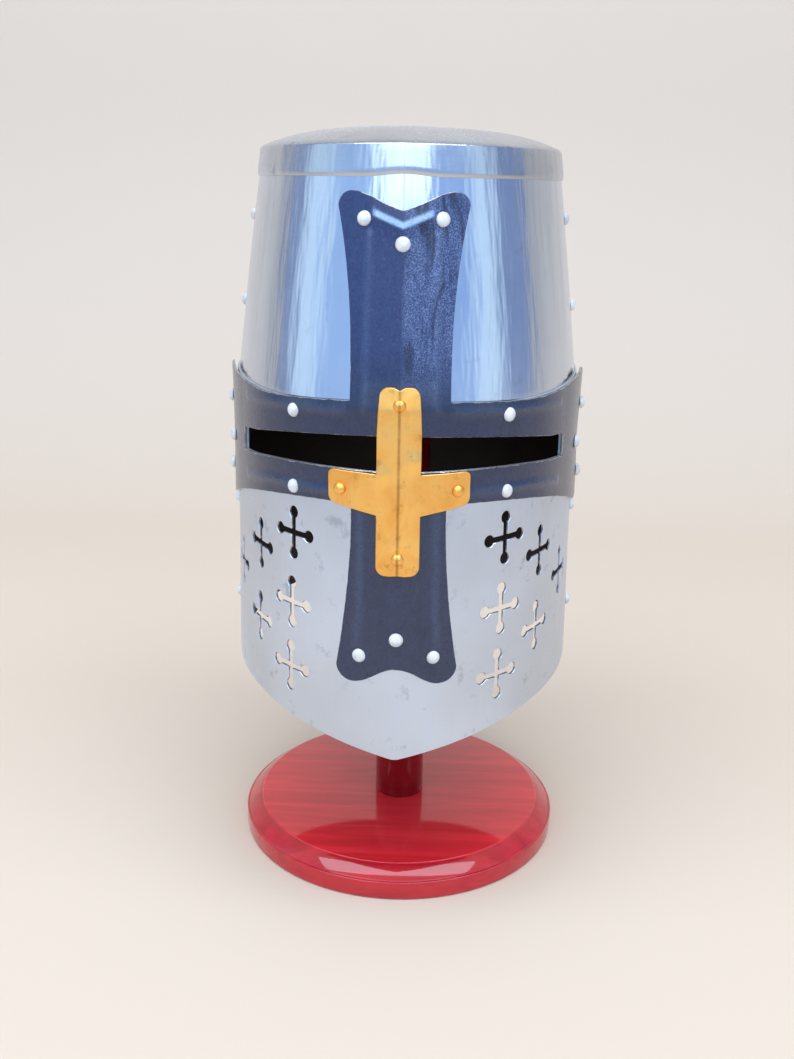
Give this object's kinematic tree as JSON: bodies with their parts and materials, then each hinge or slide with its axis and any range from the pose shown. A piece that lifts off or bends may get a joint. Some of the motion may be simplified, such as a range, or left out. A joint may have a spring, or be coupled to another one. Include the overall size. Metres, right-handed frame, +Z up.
{
  "type": "great helm on stand",
  "caption": "Riveted flat-topped great helm with a painted cross plate, brass cross, sights and breath crosses, lifting off a round turned wooden stand.",
  "frame": {"origin": "centre of the underside of the stand's base", "axes": "+Z up along the post; the helmet's face looks along -Y; +X is to the right as seen from the front"},
  "size_m": [0.2134, 0.2594, 0.4337],
  "materials": {
    "polished_steel": "polished, lightly scratched steel sheet",
    "satin_steel": "satin grey steel sheet with scratches and dull patches",
    "dark_enamel": "glossy blue-black paint on steel, worn at the edges",
    "brass": "golden brass with tarnish in blotches",
    "pale_paint": "off-white painted domed rivet heads",
    "liner_leather": "brown vegetable-tanned leather",
    "lace_cord": "round leather lace",
    "red_lacquer": "deep red clear-coated turned wood",
    "block_wood": "plain turned wood",
    "felt": "felt pad",
    "screw_steel": "plain steel wood screws"
  },
  "bodies": {
    "stand": {"stand_base": "red_lacquer", "stand_post": "red_lacquer", "head_block": "block_wood", "block_felt": "felt", "base_screw": "screw_steel", "block_screw": "screw_steel"},
    "helmet": {"crown_plate": "polished_steel", "upper_front_plate": "polished_steel", "upper_back_plate": "polished_steel", "lower_front_plate": "satin_steel", "lower_back_plate": "satin_steel", "cross_plate": "dark_enamel", "brass_cross": "brass", "brass_rivets": "brass", "upper_arm_rivets": "pale_paint", "lower_arm_rivets": "pale_paint", "band_rivets": "pale_paint", "band_end_rivets": "pale_paint", "side_seam_rivets": "pale_paint", "back_joint_rivets": "pale_paint", "liner_band": "liner_leather", "liner_tongues": "liner_leather", "liner_lace": "lace_cord"}
  },
  "joints": [
    {"name": "helmet_lift", "type": "slide", "parent": "stand", "child": "helmet", "axis": [0, 0, 1], "range_m": [0, 0.33]}
  ]
}
